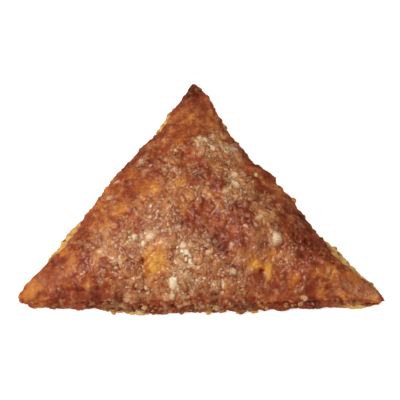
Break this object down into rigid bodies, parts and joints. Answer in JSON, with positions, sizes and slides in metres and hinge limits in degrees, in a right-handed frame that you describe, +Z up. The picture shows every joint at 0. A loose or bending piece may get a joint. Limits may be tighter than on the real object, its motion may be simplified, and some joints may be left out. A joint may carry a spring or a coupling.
{
  "type": "apple turnover",
  "caption": "Baked triangular puff pastry turnover with a domed sugared lid and ragged layered edges, lying on its flat base.",
  "frame": {"origin": "middle of the bounding box in plan, on the surface it lies on", "axes": "+X along the long folded side towards the right corner, +Y from the long side towards the apex, +Z up"},
  "size_m": [0.1606, 0.1121, 0.0343],
  "materials": {
    "pastry": null
  },
  "bodies": {
    "root": {"turnover": "pastry"}
  },
  "joints": []
}
